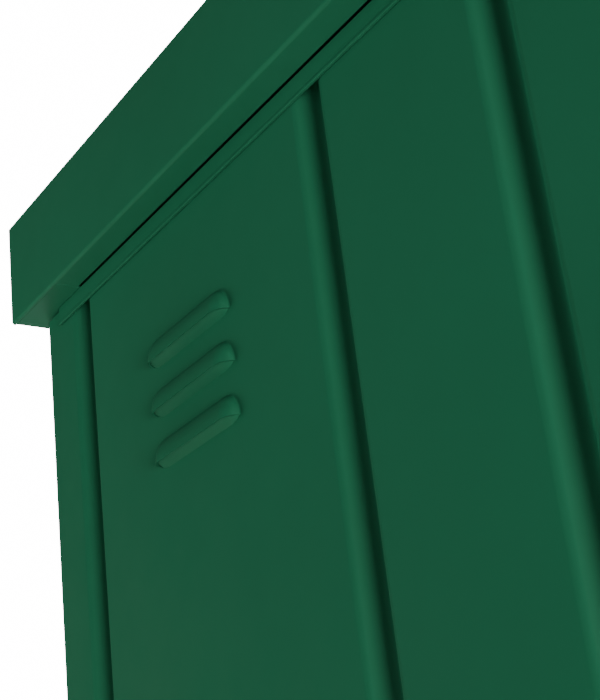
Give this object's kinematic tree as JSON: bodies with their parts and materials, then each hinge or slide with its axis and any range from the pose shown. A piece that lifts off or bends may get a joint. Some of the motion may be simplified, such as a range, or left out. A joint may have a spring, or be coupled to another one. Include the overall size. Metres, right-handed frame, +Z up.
{
  "type": "metal garden storage shed",
  "caption": "Compact painted steel garden shed with pressed wall grooves, hooded louvres, a box-edged overhanging roof and hinged double doors with a turning T handle lock.",
  "frame": {"origin": "on the ground under the middle of the whole object's box", "axes": "+X to the right seen from the front, +Y to the back, +Z up; the doors face -Y"},
  "size_m": [1.421, 1.1162, 2.0206],
  "materials": {
    "green_powder_coat": "satin powder coat",
    "galvanised_steel": "galvanised, dull spangle",
    "handle_black": "fine textured black paint on a zinc casting",
    "nickel": "nickel plate",
    "seal_rubber": "matt extruded rubber"
  },
  "bodies": {
    "shell": {"side_panel_right": "green_powder_coat", "side_panel_left": "green_powder_coat", "back_panel_right": "green_powder_coat", "back_panel_left": "green_powder_coat", "louvre_guard_right": "green_powder_coat", "louvre_guard_left": "green_powder_coat", "top_rail_right": "green_powder_coat", "top_rail_left": "green_powder_coat", "base_rail_right": "green_powder_coat", "base_rail_left": "green_powder_coat", "front_post_right": "galvanised_steel", "front_post_left": "galvanised_steel", "rear_post_right": "galvanised_steel", "rear_post_left": "galvanised_steel", "roof_tray_right": "green_powder_coat", "roof_tray_left": "green_powder_coat", "roof_bearer_right": "galvanised_steel", "roof_bearer_left": "galvanised_steel", "top_rail_back": "green_powder_coat", "base_rail_back": "green_powder_coat", "back_post": "galvanised_steel", "front_sill": "green_powder_coat", "floor_panel": "galvanised_steel", "door_head": "green_powder_coat", "roof_seam_cap": "green_powder_coat", "fascia_front": "green_powder_coat", "fascia_back": "green_powder_coat", "hinge_post_right_lower": "green_powder_coat", "hinge_post_right_middle": "green_powder_coat", "hinge_post_right_upper": "green_powder_coat", "hinge_post_left_lower": "green_powder_coat", "hinge_post_left_middle": "green_powder_coat", "hinge_post_left_upper": "green_powder_coat"},
    "right_door": {"door_right": "green_powder_coat", "door_stiffener_right_lower": "galvanised_steel", "door_stiffener_right_upper": "galvanised_steel", "door_seal_right": "seal_rubber", "hinge_door_right_lower": "green_powder_coat", "hinge_door_right_middle": "green_powder_coat", "hinge_door_right_upper": "green_powder_coat", "handle_rose": "handle_black", "rod_guide_upper": "galvanised_steel", "rod_guide_lower": "galvanised_steel"},
    "left_door": {"door_left": "green_powder_coat", "door_stiffener_left_lower": "galvanised_steel", "door_stiffener_left_upper": "galvanised_steel", "door_seal_left": "seal_rubber", "hinge_door_left_lower": "green_powder_coat", "hinge_door_left_middle": "green_powder_coat", "hinge_door_left_upper": "green_powder_coat", "bolt_guide_upper": "galvanised_steel", "bolt_guide_lower": "galvanised_steel"},
    "handle": {"handle_grip": "handle_black", "lock_cam": "galvanised_steel"},
    "key_plug": {"lock_plug": "nickel", "key": "nickel"},
    "upper_rod": {"lock_rod_upper": "galvanised_steel"},
    "lower_rod": {"lock_rod_lower": "galvanised_steel"},
    "upper_bolt": {"shoot_bolt_upper": "galvanised_steel"},
    "lower_bolt": {"shoot_bolt_lower": "galvanised_steel"}
  },
  "joints": [
    {"name": "right_door_hinge", "type": "hinge", "parent": "shell", "child": "right_door", "pos_m": [0.6425, -0.49025, 0.95], "axis": [0, 0, 1], "range_deg": [0, 115]},
    {"name": "left_door_hinge", "type": "hinge", "parent": "shell", "child": "left_door", "pos_m": [-0.6425, -0.49025, 0.95], "axis": [0, 0, -1], "range_deg": [0, 115]},
    {"name": "handle_turn", "type": "hinge", "parent": "right_door", "child": "handle", "pos_m": [0.0725, -0.48485, 1], "axis": [0, -1, 0], "range_deg": [0, 90]},
    {"name": "key_turn", "type": "hinge", "parent": "handle", "child": "key_plug", "pos_m": [0.0725, -0.48485, 1], "axis": [0, -1, 0], "range_deg": [0, 90]},
    {"name": "upper_rod_slide", "type": "slide", "parent": "right_door", "child": "upper_rod", "axis": [0, 0, 1], "range_m": [0, 0.02]},
    {"name": "lower_rod_slide", "type": "slide", "parent": "right_door", "child": "lower_rod", "axis": [0, 0, -1], "range_m": [0, 0.02]},
    {"name": "upper_bolt_slide", "type": "slide", "parent": "left_door", "child": "upper_bolt", "axis": [0, 0, 1], "range_m": [0, 0.02]},
    {"name": "lower_bolt_slide", "type": "slide", "parent": "left_door", "child": "lower_bolt", "axis": [0, 0, -1], "range_m": [0, 0.02]}
  ],
  "couplings": [
    {"joint": "upper_rod_slide", "follows": "handle_turn", "m_per_rad": 0.01273},
    {"joint": "lower_rod_slide", "follows": "handle_turn", "m_per_rad": 0.01273}
  ]
}
